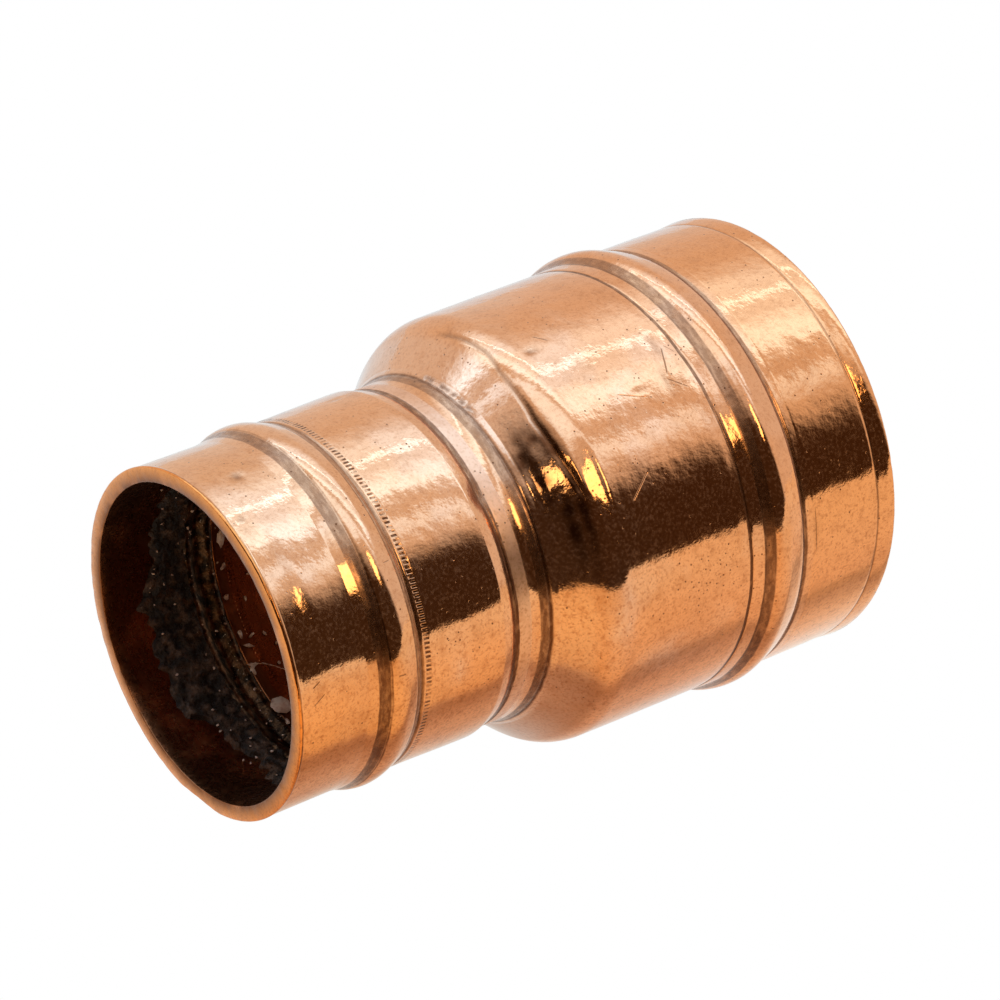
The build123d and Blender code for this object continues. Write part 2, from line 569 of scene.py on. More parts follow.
def body_vertices():
    """The copper body's vertices, a closed row for each point of the outline, with their marks."""
    outline, outer = fill_outline(rounded_outline(OUTSIDE + INSIDE))
    rows = len(outline)
    stations = np.repeat(outline[:, 0], SEGMENTS)
    radii = np.repeat(outline[:, 1], SEGMENTS)
    angles = np.tile(column_angles(), rows)
    columns = np.tile(np.arange(SEGMENTS), rows)
    outside = np.repeat(outer, SEGMENTS)
    points = lathe_points(stations, radii, angles)
    relief = np.zeros(len(stations))
    relief[outside] = outside_relief(stations[outside], radii[outside], angles[outside])
    relief += np.where(outside, tick_relief(stations, columns), 0.0)
    edge = np.clip(np.minimum(stations, LENGTH - stations) / RIM_REACH, 0, 1)
    stations = stations + rim_shift(stations, points, edge)
    radii = np.minimum(radii + relief * edge, LARGE_CROWN_R - CAD_CLEARANCE)
    marks = body_marks(stations, angles, points, outside)
    return lathe_points(stations, radii, angles), marks, rows


def closed_grid_faces(rows, columns, outer_first=True):
    """Faces of a grid that closes on itself both ways, looking out whichever wall its first rows lie on."""
    faces = []
    for i in range(rows):
        below = i * columns
        above = ((i + 1) % rows) * columns
        for j in range(columns):
            k = (j + 1) % columns
            face = (below + j, above + j, above + k, below + k)
            faces.append(face if outer_first else face[::-1])
    return faces


def mesh_object(name, points, faces):
    """A smooth-shaded object from points in millimetres."""
    mesh = bpy.data.meshes.new(name)
    mesh.from_pydata(metres(points).tolist(), [], faces)
    mesh.validate()
    mesh.polygons.foreach_set("use_smooth", [True] * len(mesh.polygons))
    mesh.update()
    piece = bpy.data.objects.new(name, mesh)
    bpy.context.scene.collection.objects.link(piece)
    return piece


def link(tree, socket, value):
    """Joins a socket to another one, or sets it to a constant."""
    if isinstance(value, bpy.types.NodeSocket):
        tree.links.new(value, socket)
    else:
        socket.default_value = value


def add(tree, kind):
    """A new shader node."""
    return tree.nodes.new("ShaderNode" + kind)


def calc(tree, operation, first, second=0.0):
    """A Math node's result."""
    node = add(tree, "Math")
    node.operation = operation
    link(tree, node.inputs[0], first)
    link(tree, node.inputs[1], second)
    return node.outputs[0]


def times(tree, first, second):
    """Two values multiplied."""
    return calc(tree, "MULTIPLY", first, second)


def plus(tree, first, second):
    """Two values added."""
    return calc(tree, "ADD", first, second)


def minus(tree, first, second):
    """The first value less the second."""
    return calc(tree, "SUBTRACT", first, second)


def most(tree, first, second):
    """The larger of two values."""
    return calc(tree, "MAXIMUM", first, second)


def smooth(tree, value, low, high, out_low=0.0, out_high=1.0):
    """A smooth step from out_low to out_high as the value goes from low to high."""
    node = add(tree, "MapRange")
    node.interpolation_type = "SMOOTHSTEP"
    for name, item in (("Value", value), ("From Min", low), ("From Max", high),
                       ("To Min", out_low), ("To Max", out_high)):
        link(tree, node.inputs[name], item)
    return node.outputs["Result"]


def mix_node(tree, factor, first, second):
    """A Mix node for colours."""
    node = add(tree, "Mix")
    node.data_type = "RGBA"
    link(tree, node.inputs[0], factor)
    link(tree, node.inputs[6], first)
    link(tree, node.inputs[7], second)
    return node


def mix(tree, factor, first, second):
    """A colour between two colours."""
    return mix_node(tree, factor, first, second).outputs[2]


def mix_add(tree, base, factor, colour):
    """A colour with a share of another added, and the share may be over one."""
    node = mix_node(tree, factor, base, colour)
    node.blend_type = "ADD"
    node.clamp_factor = False
    return node.outputs[2]


def grain(tree, vector, scale, detail=2.0, stretch=None, shift=0.0):
    """A noise value with features 1/scale long, optionally stretched per axis."""
    mapping = add(tree, "Mapping")
    mapping.inputs["Scale"].default_value = stretch or (1.0, 1.0, 1.0)
    mapping.inputs["Location"].default_value = (shift, shift * 0.7, -shift * 0.4)
    link(tree, mapping.inputs["Vector"], vector)
    node = add(tree, "TexNoise")
    node.inputs["Scale"].default_value = scale
    node.inputs["Detail"].default_value = detail
    link(tree, node.inputs["Vector"], mapping.outputs[0])
    return node.outputs["Fac"]


def band(tree, value, centre, half, soft):
    """One inside a band of values, falling to zero over its soft edges."""
    away = calc(tree, "ABSOLUTE", minus(tree, value, centre))
    return smooth(tree, away, half, half + soft, 1.0, 0.0)


def pits(tree, vector, scale, size, share):
    """Small round pits scattered at the given scale; share is how many cells hold one."""
    node = add(tree, "TexVoronoi")
    node.inputs["Scale"].default_value = scale
    link(tree, node.inputs["Vector"], vector)
    pit = smooth(tree, node.outputs["Distance"], size * 0.5, size, 1.0, 0.0)
    split = add(tree, "SeparateColor")
    link(tree, split.inputs[0], node.outputs["Color"])
    chosen = calc(tree, "LESS_THAN", split.outputs[0], share)
    return times(tree, pit, chosen)


def part_coordinates(tree):
    """The position on the part in millimetres, the station along it, and how far back and up it is."""
    coordinate = add(tree, "TexCoord")
    scaled = add(tree, "VectorMath")
    scaled.operation = "SCALE"
    scaled.inputs["Scale"].default_value = 1.0 / MM
    link(tree, scaled.inputs[0], coordinate.outputs["Object"])
    split = add(tree, "SeparateXYZ")
    link(tree, split.inputs[0], scaled.outputs[0])
    station = plus(tree, split.outputs["X"], HALF_LENGTH)
    return scaled.outputs[0], station, split.outputs["Y"], split.outputs["Z"]


def new_material(name, metallic):
    """A material with a Principled surface."""
    material = bpy.data.materials.new(name)
    material.use_nodes = True
    tree = material.node_tree
    surface = tree.nodes["Principled BSDF"]
    surface.inputs["Metallic"].default_value = metallic
    return material, tree, surface


def set_bump(tree, surface, height):
    """Drives the surface normal from a height in millimetres."""
    node = add(tree, "Bump")
    node.inputs["Strength"].default_value = 1.0
    node.inputs["Distance"].default_value = MM
    link(tree, node.inputs["Height"], height)
    link(tree, surface.inputs["Normal"], node.outputs[0])


def mesh_value(tree, name):
    """A value stored on the mesh."""
    node = add(tree, "Attribute")
    node.attribute_name = name
    return node.outputs["Fac"]


def ring_marks(tree, place, station, rings, least):
    """Brown round the part at each ring, worn down to a share of itself in places."""
    wander = minus(tree, grain(tree, place, 0.5, 3.0, shift=17.0), 0.5)
    wandering = plus(tree, station, times(tree, wander, RING_WANDER))
    lines = None
    for centre, half, soft, depth in rings:
        one = times(tree, band(tree, wandering, centre, half, soft), depth)
        lines = one if lines is None else most(tree, lines, one)
    wear = grain(tree, place, 1.4, 4.0, stretch=(3.0, 1.0, 1.0), shift=5.0)
    return times(tree, lines, smooth(tree, wear, 0.30, 0.60, least, 1.0))


def scratch_marks(tree, station, arc):
    """One along each scratch, fading over its width; arc is the angle round the part in radians."""
    marks = None
    for start, end, half, depth in SCRATCHES:
        radius = SMALL_OUTER_R if start[0] < SHOULDER_FOOT else LARGE_OUTER_R
        first = (start[0], math.radians(start[1]) * radius)
        run = (end[0] - first[0], math.radians(end[1]) * radius - first[1])
        length = math.hypot(*run)
        run = (run[0] / length, run[1] / length)
        over = minus(tree, station, first[0])
        round_ = minus(tree, times(tree, arc, radius), first[1])
        along = plus(tree, times(tree, over, run[0]), times(tree, round_, run[1]))
        aside = minus(tree, times(tree, over, run[1]), times(tree, round_, run[0]))
        line = band(tree, aside, 0.0, 0.4 * half, half)
        line = times(tree, line, band(tree, along, 0.5 * length, 0.35 * length, 0.15 * length))
        line = times(tree, line, depth)
        marks = line if marks is None else most(tree, marks, line)
    return marks


def tick_marks(tree, place, station, arc):
    """The ring of short strokes rolled just behind the small bead."""
    count = times(tree, arc, TICKS / (2.0 * math.pi))
    lean = times(tree, minus(tree, station, 10.0), TICK_LEAN)
    phase = calc(tree, "FRACT", plus(tree, plus(tree, count, lean), TICKS))
    stroke = band(tree, phase, 0.5, 0.16, 0.16)
    worn = smooth(tree, grain(tree, place, 1.6, 1.0, shift=13.0), 0.35, 0.60, 0.30, 1.0)
    return times(tree, times(tree, stroke, worn), band(tree, station, *TICK_BAND))


def speck_marks(tree, place):
    """Small dark pits all over, crowded where the mesh holds grit."""
    grit = mesh_value(tree, "grit")
    crowd = smooth(tree, grain(tree, place, 0.18, 3.0, shift=15.0), 0.40, 0.62, 0.0, 0.10)
    small = pits(tree, place, 3.4, 0.28, plus(tree, crowd, times(tree, grit, 0.7)))
    large = pits(tree, place, 1.7, 0.14, plus(tree, crowd, times(tree, grit, 0.3)))
    return most(tree, small, large)


def copper_marks(tree, place, station, across, up):
    """Every kind of mark on the copper, each one where it shows in full and zero where it doesn't."""
    arc = calc(tree, "ARCTAN2", up, times(tree, across, -1.0))
    low = smooth(tree, up, -8.0, -3.0, 1.0, 0.0)
    shade_low_front = times(tree, low, smooth(tree, across, -2.0, 6.0, 1.0, 0.0))
    lines = ring_marks(tree, place, station, DARK_LINES, 0.5)
    return {
        "inside": mesh_value(tree, "inside"),
        "bloom": mesh_value(tree, "bloom"),
        # Painted shade in the folds of the shoulder.
        "fold_shade": mesh_value(tree, "fold_shade"),
        "patches": smooth(tree, grain(tree, place, 0.22, 3.0), 0.46, 0.64),
        "stains": smooth(tree, grain(tree, place, 0.5, 4.0, shift=7.0), 0.56, 0.74),
        "waist": band(tree, station, *WAIST_BAND),
        "slope": band(tree, station, *SLOPE_BAND),
        # Painted shade: a brown tint low on the front of the shoulder, standing in for a dark reflection.
        "shade_under": times(tree, shade_low_front, band(tree, station, *SHADE_UNDER_BAND)),
        "groove_brown_and_shade": most(tree, ring_marks(tree, place, station, GROOVE_BROWN_AND_SHADE, 0.7), mesh_value(tree, "hollow_darkening")),
        # Painted shade: the groove brown is darker towards the bottom and lighter towards the top.
        "brown": smooth(tree, up, *SHADE_HEIGHTS, 0.95, 0.70),
        # Painted shade: the dark lines fade towards the top.
        "lines": times(tree, lines, smooth(tree, up, *SHADE_HEIGHTS, 1.0, 0.5)),
        "ticks": tick_marks(tree, place, station, arc),
        "specks": speck_marks(tree, place),
        "scratches": scratch_marks(tree, station, arc),
        # Mottling strongest towards the bottom, fading towards the top.
        "mottle_by_height": smooth(tree, up, 2.0, 7.0, 1.0, 0.55),
    }


def copper_colour(tree, place, station, marks):
    """The metal's colour: pink in patches, brown with painted shade in its groove lines and hollows, painted
    shade in its folds and low on the shoulder, orange at the large end, dull inside.
    """
    colour = mix(tree, smooth(tree, station, 6.0, 13.0), PALE_COPPER, MIDDLE_COPPER)
    colour = mix(tree, smooth(tree, station, 20.0, 30.0), colour, COPPER)
    for name, share, tone in TINTS:
        colour = mix(tree, times(tree, marks[name], share), colour, tone)
    colour = mix(tree, smooth(tree, station, 38.5, 40.0), colour, ORANGE_COPPER)
    colour = mix(tree, smooth(tree, station, 0.13, 0.30, 1.0, 0.0), colour, RIM_BRASSY)
    for scale, shift, low, high, share, tone in MOTTLES:
        speckle = smooth(tree, grain(tree, place, scale, 3.0, shift=shift), low, high, 0.0, share)
        colour = mix(tree, times(tree, speckle, marks["mottle_by_height"]), colour, tone)
    # Groove brown: partly stain, partly painted shade in the hollows, darker towards the bottom.
    colour = mix(tree, times(tree, marks["groove_brown_and_shade"], marks["brown"]), colour, RING_BROWN_AND_SHADE)
    for name, share in DARK_MARKS:
        colour = mix(tree, times(tree, marks[name], share), colour, DARK_LINE)
    blotches = smooth(tree, grain(tree, place, 0.35, 4.0, shift=11.0), 0.50, 0.68)
    return mix(tree, marks["inside"], colour, mix(tree, blotches, BORE_BROWN, BORE_RED))


def copper_height(tree, place, up, fine, marks):
    """The fine relief of the metal in millimetres: ripples, dents on top, lumps inside and cut marks."""
    dents = times(tree, grain(tree, place, 0.8, 3.5, shift=71.0), smooth(tree, up, 5.5, 9.0, 0.0, 0.034))
    lumps = times(tree, grain(tree, place, 1.1, 4.0, shift=9.0), marks["inside"])
    height = plus(tree, times(tree, fine, 0.007), dents)
    height = plus(tree, height, times(tree, grain(tree, place, 7.0, 2.0, shift=4.0), 0.0025))
    for name, depth in CUT_MARKS:
        height = minus(tree, height, times(tree, marks[name], depth))
    return plus(tree, height, times(tree, lumps, 0.05))


def copper_material():
    """Tumbled copper: bright, faintly pink in patches, brown with painted shade in its groove lines, painted
    shade in its folds and low on the shoulder, and dull inside.
    """
    material, tree, surface = new_material("copper", 1.0)
    place, station, across, up = part_coordinates(tree)
    marks = copper_marks(tree, place, station, across, up)
    link(tree, surface.inputs["Base Color"], copper_colour(tree, place, station, marks))
    fine = grain(tree, place, 2.2, 3.0, shift=3.0)
    rough = smooth(tree, fine, 0.3, 0.7, 0.05, 0.10)
    for name, amount in DULL_MARKS:
        rough = plus(tree, rough, times(tree, marks[name], amount))
    link(tree, surface.inputs["Roughness"], rough)
    haze = grain(tree, place, 5.0, 3.0, stretch=(1.0, 0.6, 1.0), shift=61.0)
    link(tree, surface.inputs["Metallic"], smooth(tree, haze, 0.45, 0.72, 1.0, HAZE_METALLIC))
    set_bump(tree, surface, copper_height(tree, place, up, fine, marks))
    return material


def solder_material():
    """Dull solder, browned by flux, with bright grains."""
    material, tree, surface = new_material("solder", 1.0)
    place = part_coordinates(tree)[0]
    lumps = grain(tree, place, 1.6, 4.0)
    fine = grain(tree, place, 6.0, 3.0, shift=8.0)
    colour = mix(tree, smooth(tree, lumps, 0.35, 0.7), SOLDER_DARK, SOLDER_BROWN)
    colour = mix(tree, smooth(tree, fine, 0.66, 0.74), colour, SOLDER_BRIGHT)
    link(tree, surface.inputs["Base Color"], colour)
    surface.inputs["Roughness"].default_value = 0.36
    height = plus(tree, times(tree, lumps, 0.15), times(tree, fine, 0.05))
    set_bump(tree, surface, height)
    return material


def crust_material():
    """Burnt flux: a grey-black, flaky crust."""
    material, tree, surface = new_material("flux_crust", 0.0)
    place = part_coordinates(tree)[0]
    lumps = grain(tree, place, 1.1, 4.0, shift=21.0)
    colour = mix(tree, smooth(tree, lumps, 0.42, 0.74), CRUST_BLACK, CRUST_GREY)
    brown = smooth(tree, grain(tree, place, 0.9, 3.0, shift=25.0), 0.56, 0.70)
    colour = mix(tree, times(tree, brown, 0.7), colour, CRUST_BROWN)
    link(tree, surface.inputs["Base Color"], colour)
    surface.inputs["Roughness"].default_value = 0.50
    surface.inputs["Specular IOR Level"].default_value = 0.25
    fine = grain(tree, place, 7.0, 4.0, shift=23.0)
    height = plus(tree, times(tree, lumps, 0.70), times(tree, fine, 0.12))
    set_bump(tree, surface, height)
    return material


def flake_material():
    """Pale pinkish scraps of dried flux."""
    material, tree, surface = new_material("flux_flakes", 0.0)
    place = part_coordinates(tree)[0]
    tone = smooth(tree, grain(tree, place, 2.0, 3.0, shift=31.0), 0.35, 0.65)
    link(tree, surface.inputs["Base Color"], mix(tree, tone, FLAKE_PINK, FLAKE_PALE))
    surface.inputs["Roughness"].default_value = 0.45
    return material


def build_body(material):
    """The copper body, turned and marked like the real one, in place of the CAD body."""
    points, marks, rows = body_vertices()
    piece = mesh_object("copper_body", points, closed_grid_faces(rows, SEGMENTS))
    for name, values in marks.items():
        mark = piece.data.attributes.new(name, "FLOAT", "POINT")
        mark.data.foreach_set("value", values)
    finish_piece(piece, material)
    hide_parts("body")
    return piece


def build_ring(name, node, centre, bore, material, seed):
    """A solder ring lying lumpily in its groove, proud of the bore at both lips, in place of the CAD ring."""
    outline = RING_BACK + RING_FACE
    rows = len(outline)
    stations = np.repeat([centre + corner[0] for corner in outline], SEGMENTS)
    radii = np.repeat([bore + corner[1] for corner in outline], SEGMENTS)
    angles = np.tile(column_angles(), rows)
    points = lathe_points(stations, radii, angles)
    free = np.repeat([0.0] * len(RING_BACK) + [1.0] * len(RING_FACE), SEGMENTS)
    lumps = 0.13 * noise_field(points, 1.6, seed) + 0.07 * noise_field(points, 0.5, seed + 1)
    radii = np.minimum(radii + free * lumps, bore + RING_DEPTH)
    stations = stations + 0.12 * free * noise_field(points, 1.2, seed + 2)
    piece = mesh_object(name, lathe_points(stations, radii, angles), closed_grid_faces(rows, SEGMENTS))
    finish_piece(piece, material)
    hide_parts(node)
    return piece


def finish_piece(piece, material):
    """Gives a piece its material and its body."""
    piece.data.materials.append(material)
    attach(piece, "root")


def build_crust(material):
    """The ragged sheet of burnt flux on the bore between the small mouth and its solder ring."""
    angles = column_angles()
    edge = np.interp(angles, [c[0] for c in CRUST_EDGE], [c[1] for c in CRUST_EDGE])
    edge_points = lathe_points(np.full(SEGMENTS, 4.0), np.full(SEGMENTS, SMALL_BORE_R), angles)
    edge = edge + 0.9 * noise_field(edge_points, 2.2, 41) + 0.7 * noise_field(edge_points, 0.7, 42)
    share = np.linspace(-0.15, 1.0, CRUST_ROWS)
    stations = (edge[None, :] + (CRUST_END - edge[None, :]) * share[:, None]).ravel()
    angles = np.tile(angles, CRUST_ROWS)
    bore = np.full(len(stations), SMALL_BORE_R)
    points = lathe_points(stations, bore, angles)
    along = np.repeat(share, SEGMENTS)
    body = np.clip(along / 0.10, -1.0, 1.0) * np.clip((1.0 - along) / 0.05, 0.0, 1.0)
    thick = 0.30 + 0.34 * noise_field(points, 1.1, 43) + 0.28 * noise_field(points, 0.42, 44)
    thick = np.where(body > 0.0, np.maximum(thick, 0.06) * body, 0.30 * body)
    face = lathe_points(stations, bore - thick, angles)
    back = lathe_points(stations[::-1], bore + CRUST_BACK, angles)
    faces = closed_grid_faces(2 * CRUST_ROWS, SEGMENTS, outer_first=False)
    piece = mesh_object("flux_crust", np.concatenate([face, back]), faces)
    finish_piece(piece, material)
    return piece


def flake_points(station, angle, half_length, half_width, lean, lift, picker):
    """A bent, ragged scrap lying against the bore: its lower and upper outlines."""
    lower = []
    upper = []
    for i in range(FLAKE_CORNERS):
        turn = 2.0 * math.pi * i / FLAKE_CORNERS
        reach = picker.uniform(0.65, 1.10)
        along = half_length * reach * math.cos(turn)
        across = half_width * reach * math.sin(turn)
        step = along * math.cos(lean) - across * math.sin(lean)
        side = along * math.sin(lean) + across * math.cos(lean)
        depth = lift + 0.10 * picker.random()
        at = angle + math.degrees(side / SMALL_BORE_R)
        lower.append(lathe_points(station + step, SMALL_BORE_R - depth, at))
        upper.append(lathe_points(station + step, SMALL_BORE_R - depth - FLAKE_THICKNESS, at))
    return lower, upper


def add_prism(points, faces, lower, upper):
    """Adds a thin closed plate between two outlines."""
    start = len(points)
    count = len(lower)
    points += lower + upper
    faces.append(tuple(start + i for i in range(count)))
    faces.append(tuple(start + count + i for i in reversed(range(count))))
    for i in range(count):
        k = (i + 1) % count
        faces.append((start + k, start + i, start + count + i, start + count + k))


def build_flakes(material):
    """Scraps and splinters of dried flux stuck past the solder ring."""
    picker = random.Random(5)
    points = []
    faces = []
    for flake in FLAKES:
        add_prism(points, faces, *flake_points(*flake, 0.05, picker))
    for _ in range(STRAY_FLAKES):
        size = picker.uniform(0.05, 0.16)
        place = (picker.uniform(9.2, 15.5), picker.uniform(-180.0, 180.0))
        shape = (size * picker.uniform(1.0, 2.4), size, picker.uniform(0.0, math.pi))
        add_prism(points, faces, *flake_points(*place, *shape, 0.03, picker))
    for _ in range(CRUST_GRAINS):
        size = picker.uniform(0.03, 0.09)
        place = (picker.uniform(3.4, 9.0), picker.uniform(-180.0, 180.0))
        shape = (size * 1.5, size, picker.uniform(0.0, math.pi))
        add_prism(points, faces, *flake_points(*place, *shape, 0.40, picker))
    piece = mesh_object("flux_flakes", np.array(points), faces)
    finish_piece(piece, material)
    return piece


def tube(middle, radius, sides):
    """The points and faces of a thin closed tube along a line."""
    points = []
    for i, centre in enumerate(middle):
        tangent = unit(middle[min(i + 1, len(middle) - 1)] - middle[max(i - 1, 0)])
        first = unit(np.cross(tangent, (1.0, 0.3, 0.2)))
        second = np.cross(tangent, first)
        for j in range(sides):
            turn = 2.0 * math.pi * j / sides
            points.append(centre + radius * (first * math.cos(turn) + second * math.sin(turn)))
    faces = []
    for start in range(0, len(points) - sides, sides):
        for j in range(sides):
            k = (j + 1) % sides
            faces.append((start + j, start + k, start + sides + k, start + sides + j))
    faces.append(tuple(reversed(range(sides))))
    faces.append(tuple(range(len(points) - sides, len(points))))
    return points, faces


def build_bristle(material):
    """One fine bristle caught on the largest splinter."""
    fine = np.linspace(0, len(BRISTLE) - 1, BRISTLE_POINTS)
    stations, angles, lifts = (np.interp(fine, np.arange(len(BRISTLE)), column) for column in zip(*BRISTLE))
    middle = lathe_points(stations, SMALL_BORE_R - lifts, angles)
    points, faces = tube(middle, BRISTLE_R, BRISTLE_SIDES)
    piece = mesh_object("brush_bristle", np.array(points), faces)
    finish_piece(piece, material)
    return piece


# The studio. The floor is tilted to touch both bead crowns. Nothing real rests like that: the shoulder and
# the small rim reach a little below the floor, which hides the undersides of both by up to 0.6 mm.
FLOOR_TILT = math.atan((LARGE_CROWN_R - SMALL_CROWN_R) / (LARGE_BEAD - SMALL_BEAD))
TOWARDS_CAMERA = (-0.6, -0.8, 0.0)
TOWARDS_EDGE = (-0.7071, -0.7071, 0.0)
FLOOR_HALF = 1500.0
FLOOR_EDGE = 65.0
FLOOR_EDGE_SOFT = 3.0
WHITE = (1.0, 1.0, 1.0, 1.0)
BLACK = (0.0, 0.0, 0.0, 1.0)
DARK_ROOM = (0.052, 0.029, 0.014, 1.0)
BACKDROP = (0.84, 0.80, 0.71, 1.0)
# The light the floor gives back to the metal, from in front of the part (-Y) to behind it,
# to the left of the waist and to the right of it. It is painted: the warm tint stands in for light bounced
# off the copper, and the dark band near -17 mm is a painted shadow of the part.
GLOW_LEFT = [(-60.0, (0.62, 0.36, 0.10)), (-30.0, (0.73, 0.44, 0.13)), (-21.0, (0.65, 0.39, 0.12)),
             (-19.4, (0.60, 0.35, 0.11)), (-17.6, (0.26, 0.12, 0.05)), (-16.0, (0.24, 0.12, 0.06)),
             (-14.0, (0.38, 0.25, 0.17)), (-12.0, (0.50, 0.38, 0.28)), (-10.5, (0.48, 0.37, 0.28)),
             (-8.0, (0.58, 0.56, 0.50)), (-6.0, (0.64, 0.68, 0.64)), (30.0, (0.56, 0.58, 0.56))]
GLOW_RIGHT = [(-60.0, (0.62, 0.56, 0.42)), (-30.0, (0.62, 0.56, 0.45)), (-20.0, (0.58, 0.50, 0.40)),
              (-18.4, (0.54, 0.46, 0.36)), (-17.0, (0.30, 0.25, 0.19)), (-15.0, (0.33, 0.29, 0.26)),
              (-13.0, (0.44, 0.41, 0.36)), (-11.5, (0.58, 0.56, 0.50)), (-9.0, (0.70, 0.72, 0.68)),
              (-6.0, (0.74, 0.82, 0.84)), (30.0, (0.57, 0.60, 0.60))]
ACROSS_FLOOR = (0.114, 1.0, 0.0)
# The floor's own colour to reflections: warm in front of the part as painted light bounced off the copper,
# grey behind.
FLOOR_FRONT = (0.38, 0.27, 0.16, 1.0)
FLOOR_BACK = (0.27, 0.28, 0.28, 1.0)
# How bright the overhead box looks, from its back edge to its front edge, by how far it leans to the camera.
BOX_PROFILE = [(-0.87, 0.0), (-0.79, 0.15), (-0.72, 0.34), (-0.66, 0.62), (-0.62, 0.80), (-0.57, 0.68),
               (-0.53, 0.70), (-0.512, 2.00), (-0.488, 2.00), (-0.465, 0.60), (-0.405, 0.58), (-0.34, 0.84),
               (-0.27, 1.20), (-0.20, 1.38), (-0.165, 1.25), (-0.135, 0.50), (-0.09, 0.12), (-0.04, 0.0),
               (0.0, 0.04), (0.03, 0.34), (0.06, 0.78), (0.09, 0.74), (0.14, 0.34), (0.19, 0.0)]
BOX_PEAK = 2.0
BOX_COLOUR = (0.5, 1.10, 1.80, 1.0)
OVERHEAD = 0.9
# Two warm lamps: (azimuth, elevation, half width, half height), in degrees.
LAMPS = [(159, 38, 7.5, 10.0), (243, 31, 4.0, 6.0)]
LAMP_COLOUR = (3.6, 2.6, 1.2, 1.0)
# The camera: where it stands, the way it looks, and its right-hand side.
CAMERA_PLACE = (-164.2, -219.0, 164.2)
CAMERA_AHEAD = (0.5196, 0.6866, -0.5084)
CAMERA_RIGHT = (0.7974, -0.6034, 0.0)
CAMERA_LENS = 171.0


def dot(tree, vector, direction):
    """The dot product of a vector socket and a fixed direction."""
    node = add(tree, "VectorMath")
    node.operation = "DOT_PRODUCT"
    link(tree, node.inputs[0], vector)
    node.inputs[1].default_value = direction
    return node.outputs["Value"]


def ramp(tree, value, stops):
    """A colour that changes smoothly through (value, colour) stops."""
    low = stops[0][0]
    high = stops[-1][0]
    node = add(tree, "ValToRGB")
    link(tree, node.inputs[0], calc(tree, "DIVIDE", minus(tree, value, low), high - low))
    elements = node.color_ramp.elements
    while len(elements) < len(stops):
        elements.new(0.5)
    for element, (at, colour) in zip(elements, stops):
        element.position = (at - low) / (high - low)
        element.color = (*colour, 1.0)
    return node.outputs["Color"]


def lamp_spot(tree, direction, azimuth, elevation, half_width, half_height):
    """One inside an upright oval patch of the sky."""
    turn = math.radians(azimuth)
    lift = math.radians(elevation)
    centre = (math.sin(turn) * math.cos(lift), math.cos(turn) * math.cos(lift), math.sin(lift))
    side = (math.cos(turn), -math.sin(turn), 0.0)
    above = (-math.sin(turn) * math.sin(lift), -math.cos(turn) * math.sin(lift), math.cos(lift))
    across = calc(tree, "DIVIDE", dot(tree, direction, side), math.sin(math.radians(half_width)))
    upward = calc(tree, "DIVIDE", dot(tree, direction, above), math.sin(math.radians(half_height)))
    away = plus(tree, times(tree, across, across), times(tree, upward, upward))
    facing = calc(tree, "GREATER_THAN", dot(tree, direction, centre), 0.0)
    return times(tree, smooth(tree, away, 0.55, 1.0, 1.0, 0.0), facing)


def build_world():
    """A white backdrop behind, a soft box overhead, a dim room behind the camera and two small warm lamps."""
    world = bpy.data.worlds.new("studio")
    bpy.context.scene.world = world
    world.use_nodes = True
    tree = world.node_tree
    coordinate = add(tree, "TexCoord").outputs["Generated"]
    ahead = dot(tree, coordinate, TOWARDS_CAMERA)
    up = dot(tree, coordinate, (0.0, 0.0, 1.0))
    behind = minus(tree, ahead, times(tree, up, 0.25))
    below = minus(tree, up, times(tree, ahead, 0.12))
    dark = times(tree, smooth(tree, behind, 0.0, 0.20), smooth(tree, below, 0.44, 0.81, 1.0, 0.0))
    profile = ramp(tree, ahead, [(at, (level / BOX_PEAK,) * 3) for at, level in BOX_PROFILE])
    box = times(tree, times(tree, profile, BOX_PEAK), smooth(tree, up, 0.50, 0.68))
    roof = times(tree, smooth(tree, up, 0.82, 0.92), smooth(tree, ahead, -0.10, 0.05))
    box = most(tree, box, times(tree, roof, OVERHEAD))
    light = mix(tree, dark, BACKDROP, DARK_ROOM)
    light = mix_add(tree, light, box, BOX_COLOUR)
    for lamp in LAMPS:
        light = mix_add(tree, light, lamp_spot(tree, coordinate, *lamp), LAMP_COLOUR)
    seen = add(tree, "LightPath").outputs["Is Camera Ray"]
    light = mix(tree, seen, light, WHITE)
    link(tree, tree.nodes["Background"].inputs["Color"], light)


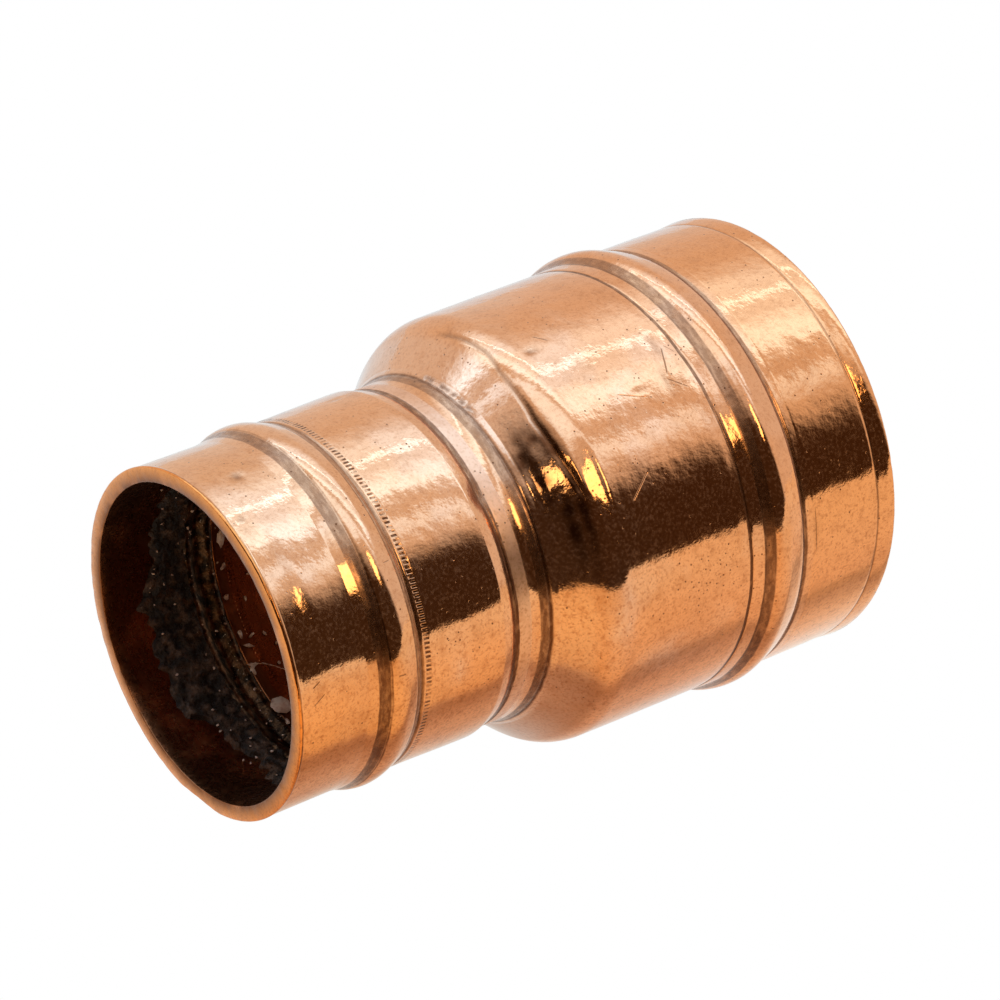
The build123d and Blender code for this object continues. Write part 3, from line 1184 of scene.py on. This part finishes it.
def floor_material():
    """White to the camera; to everything else a warm sheet of painted light, with a painted shadow of the
    part, ending a little way in front of the part.
    """
    material = bpy.data.materials.new("floor")
    material.use_nodes = True
    tree = material.node_tree
    tree.nodes.clear()
    place = add(tree, "NewGeometry").outputs["Position"]
    ahead = dot(tree, place, TOWARDS_EDGE)
    edge = smooth(tree, ahead, (FLOOR_EDGE - FLOOR_EDGE_SOFT) * MM, (FLOOR_EDGE + FLOOR_EDGE_SOFT) * MM)
    behind = dot(tree, place, ACROSS_FLOOR)
    # Painted light and a painted shadow of the part, by place on the floor.
    left = ramp(tree, behind, [(at * MM, colour) for at, colour in GLOW_LEFT])
    right = ramp(tree, behind, [(at * MM, colour) for at, colour in GLOW_RIGHT])
    glow_colour = mix(tree, smooth(tree, dot(tree, place, (1.0, 0.0, 0.0)), -25 * MM, 45 * MM), left, right)
    glow = add(tree, "Emission")
    link(tree, glow.inputs["Color"], mix(tree, edge, glow_colour, DARK_ROOM))
    paper = add(tree, "BsdfDiffuse")
    paper_colour = mix(tree, smooth(tree, behind, -10 * MM, 30 * MM), FLOOR_FRONT, FLOOR_BACK)
    link(tree, paper.inputs["Color"], mix(tree, edge, paper_colour, BLACK))
    both = add(tree, "AddShader")
    link(tree, both.inputs[0], glow.outputs[0])
    link(tree, both.inputs[1], paper.outputs[0])
    white = add(tree, "Emission")
    shown = add(tree, "MixShader")
    seen = add(tree, "LightPath").outputs["Is Camera Ray"]
    link(tree, shown.inputs[0], seen)
    link(tree, shown.inputs[1], both.outputs[0])
    link(tree, shown.inputs[2], white.outputs[0])
    out = add(tree, "OutputMaterial")
    link(tree, out.inputs["Surface"], shown.outputs[0])
    return material


def build_floor():
    """A wide floor against the two crowns."""
    normal = Vector((math.sin(FLOOR_TILT), 0.0, math.cos(FLOOR_TILT)))
    along = Vector((math.cos(FLOOR_TILT), 0.0, -math.sin(FLOOR_TILT)))
    middle = Vector(lathe_points(LARGE_BEAD, 0.0, 0.0)) - normal * LARGE_CROWN_R
    along = along * FLOOR_HALF
    side = Vector((0.0, FLOOR_HALF, 0.0))
    corners = [middle + along * a + side * b for a, b in ((-1, -1), (1, -1), (1, 1), (-1, 1))]
    floor = mesh_object("floor", corners, [(0, 1, 2, 3)])
    floor.data.materials.append(floor_material())


def build_camera():
    """A long lens above and to the left of the small mouth."""
    forward = Vector(CAMERA_AHEAD).normalized()
    right = Vector(CAMERA_RIGHT).normalized()
    above = right.cross(forward)
    data = bpy.data.cameras.new("camera")
    data.lens = CAMERA_LENS
    data.sensor_width = 36.0
    data.clip_start = 0.01
    data.clip_end = 10.0
    camera = bpy.data.objects.new("camera", data)
    turn = Matrix((right, above, -forward)).transposed().to_4x4()
    camera.matrix_world = Matrix.Translation(Vector(CAMERA_PLACE) * MM) @ turn
    bpy.context.scene.collection.objects.link(camera)
    bpy.context.scene.camera = camera


def build_studio():
    """Floor, light and camera."""
    build_floor()
    build_world()
    build_camera()
    scene = bpy.context.scene
    scene.view_settings.view_transform = "Standard"
    scene.view_settings.look = "None"
    scene.cycles.use_denoising = True


copper = copper_material()
solder = solder_material()
build_body(copper)
crust = crust_material()
flakes = flake_material()
build_crust(crust)
build_flakes(flakes)
build_bristle(flakes)
build_ring("small_ring", "small_solder_ring", SMALL_BEAD, SMALL_BORE_R, solder, 11)
build_ring("large_ring", "large_solder_ring", LARGE_BEAD, LARGE_BORE_R, solder, 12)
build_studio()
